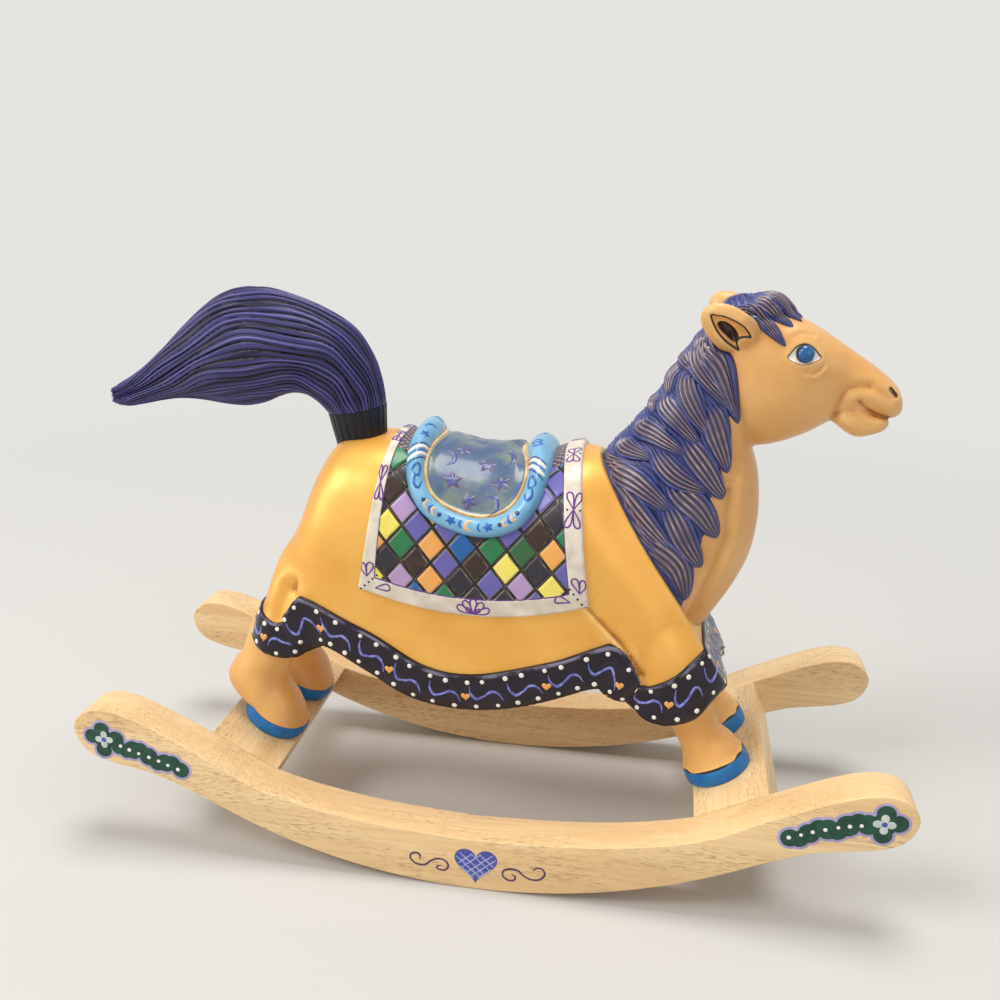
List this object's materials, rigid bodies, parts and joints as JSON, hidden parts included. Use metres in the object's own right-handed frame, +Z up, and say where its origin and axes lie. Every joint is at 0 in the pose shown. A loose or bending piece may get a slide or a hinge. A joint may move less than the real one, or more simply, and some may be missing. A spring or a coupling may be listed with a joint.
{
  "type": "rocking horse",
  "caption": "Tabletop rocking horse: a painted cast horse in a long coat with saddle and blanket, its hooves screwed to rails between two curved wooden rockers.",
  "frame": {"origin": "on the floor, midway between the lines where the two rockers touch it, with the rockers level", "axes": "+X the way the horse faces, +Y the horse's left, +Z up"},
  "size_m": [0.3654, 0.141, 0.2501],
  "materials": {
    "rubberwood": "pale fine-grained wood under a thin satin lacquer",
    "dowel_wood": "plain turned wood, unfinished",
    "screw_steel": "bright zinc-plated steel",
    "insert_brass": "plain brass",
    "leg_paint": "cast resin painted warm tan under satin varnish, with bright blue hoof bands",
    "coat_paint": "cast resin painted pearl gold, with a dark aubergine hem",
    "head_paint": "cast resin painted warm tan, with a violet-blue mane",
    "eye_blue": "bright blue gloss bead",
    "tail_paint": "cast resin painted dark violet-blue under satin varnish",
    "blanket_paint": "cast resin painted with a cream border round coloured diamonds",
    "saddle_paint": "cast resin painted sky blue and slate blue under gloss varnish",
    "plug_rubber": "soft matt rubber"
  },
  "bodies": {
    "root": {"rocker_left": "rubberwood", "rocker_right": "rubberwood", "rail_front": "rubberwood", "rail_rear": "rubberwood", "rail_dowels": "dowel_wood", "hoof_screws": "screw_steel", "hoof_washers": "screw_steel", "hoof_inserts": "insert_brass", "leg_front_left": "leg_paint", "leg_front_right": "leg_paint", "leg_rear_left": "leg_paint", "leg_rear_right": "leg_paint", "body_casting": "coat_paint", "belly_plug": "plug_rubber", "neck_and_head": "head_paint", "eye_left": "eye_blue", "eye_right": "eye_blue", "tail_dock": "tail_paint", "tail": "tail_paint", "tail_peg": "dowel_wood", "saddle_blanket": "blanket_paint", "saddle": "saddle_paint"}
  },
  "joints": []
}
